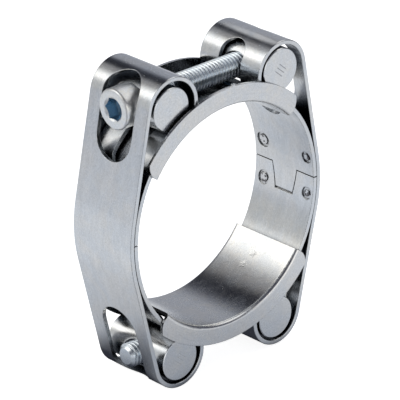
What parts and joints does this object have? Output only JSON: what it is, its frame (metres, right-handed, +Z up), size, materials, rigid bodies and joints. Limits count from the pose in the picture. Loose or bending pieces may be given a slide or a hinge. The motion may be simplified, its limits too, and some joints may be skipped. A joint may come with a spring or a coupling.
{
  "type": "double-bolt pipe clamp",
  "caption": "Heavy-duty double-bolt band clamp for a pipe or hose: looped strip halves drawn together by cap screws through cross pins, over flanged bridges.",
  "frame": {"origin": "on the axis of the clamped pipe, at the middle of the band's width", "axes": "+Y along the pipe, away from the front; +X along the bolts, towards the half whose upper pin is threaded; +Z up, from the lower bolt to the upper bolt"},
  "size_m": [0.0614, 0.0218, 0.0793],
  "materials": {
    "band": "bright zinc plate on rolled strip",
    "bridge": "bright zinc plate on pressed sheet",
    "pin": "bright zinc plate on turned bar",
    "bolt": "bright zinc plate"
  },
  "bodies": {
    "left_half": {"left_band": "band"},
    "right_half": {"right_band": "band"},
    "upper_bridge": {"upper_bridge": "bridge"},
    "lower_bridge": {"lower_bridge": "bridge"},
    "upper_head_pin": {"upper_head_pin": "pin"},
    "upper_nut_pin": {"upper_nut_pin": "pin"},
    "lower_nut_pin": {"lower_nut_pin": "pin"},
    "lower_head_pin": {"lower_head_pin": "pin"},
    "upper_bolt": {"upper_bolt": "bolt"},
    "lower_bolt": {"lower_bolt": "bolt"}
  },
  "joints": [
    {"name": "clamp_tilt", "type": "hinge", "parent": "left_half", "child": "lower_nut_pin", "pos_m": [-0.0154, 0, -0.03275], "axis": [0, 1, 0], "range_deg": [0, 1]},
    {"name": "clamp_opening", "type": "slide", "parent": "lower_nut_pin", "child": "lower_head_pin", "axis": [0.9999, 0, 0.0152], "range_m": [0, 0.004]},
    {"name": "lower_bolt_turn", "type": "hinge", "parent": "lower_head_pin", "child": "lower_bolt", "pos_m": [0.0162, 0, -0.03227], "axis": [0.9999, 0, 0.0152], "range_deg": [0, 1440]},
    {"name": "right_half_tilt", "type": "hinge", "parent": "lower_head_pin", "child": "right_half", "pos_m": [0.0162, 0, -0.03227], "axis": [0, 1, 0], "range_deg": [0, 1]},
    {"name": "upper_nut_pin_turn", "type": "hinge", "parent": "right_half", "child": "upper_nut_pin", "pos_m": [0.0169, 0, 0.03172], "axis": [0, 1, 0], "range_deg": [-1, 0]},
    {"name": "upper_head_pin_turn", "type": "hinge", "parent": "left_half", "child": "upper_head_pin", "pos_m": [-0.0174, 0, 0.0312], "axis": [0, 1, 0], "range_deg": [0, 1]},
    {"name": "upper_bolt_turn", "type": "hinge", "parent": "upper_head_pin", "child": "upper_bolt", "pos_m": [-0.0174, 0, 0.0312], "axis": [0.9999, 0, 0.0152], "range_deg": [-1440, 0]},
    {"name": "upper_bridge_shift", "type": "slide", "parent": "upper_head_pin", "child": "upper_bridge", "axis": [0.9999, 0, 0.0152], "range_m": [0, 0.002]},
    {"name": "lower_bridge_shift", "type": "slide", "parent": "lower_nut_pin", "child": "lower_bridge", "axis": [0.9999, 0, 0.0152], "range_m": [0, 0.002]}
  ],
  "couplings": [
    {"joint": "lower_bolt_turn", "follows": "clamp_opening", "rad_per_m": 6283.2},
    {"joint": "upper_bolt_turn", "follows": "clamp_opening", "rad_per_m": -6283.2},
    {"joint": "right_half_tilt", "follows": "clamp_tilt", "ratio": 1},
    {"joint": "upper_nut_pin_turn", "follows": "clamp_tilt", "ratio": -1},
    {"joint": "upper_head_pin_turn", "follows": "clamp_tilt", "ratio": 1},
    {"joint": "upper_bridge_shift", "follows": "clamp_opening", "ratio": 0.5},
    {"joint": "lower_bridge_shift", "follows": "clamp_opening", "ratio": 0.5}
  ]
}
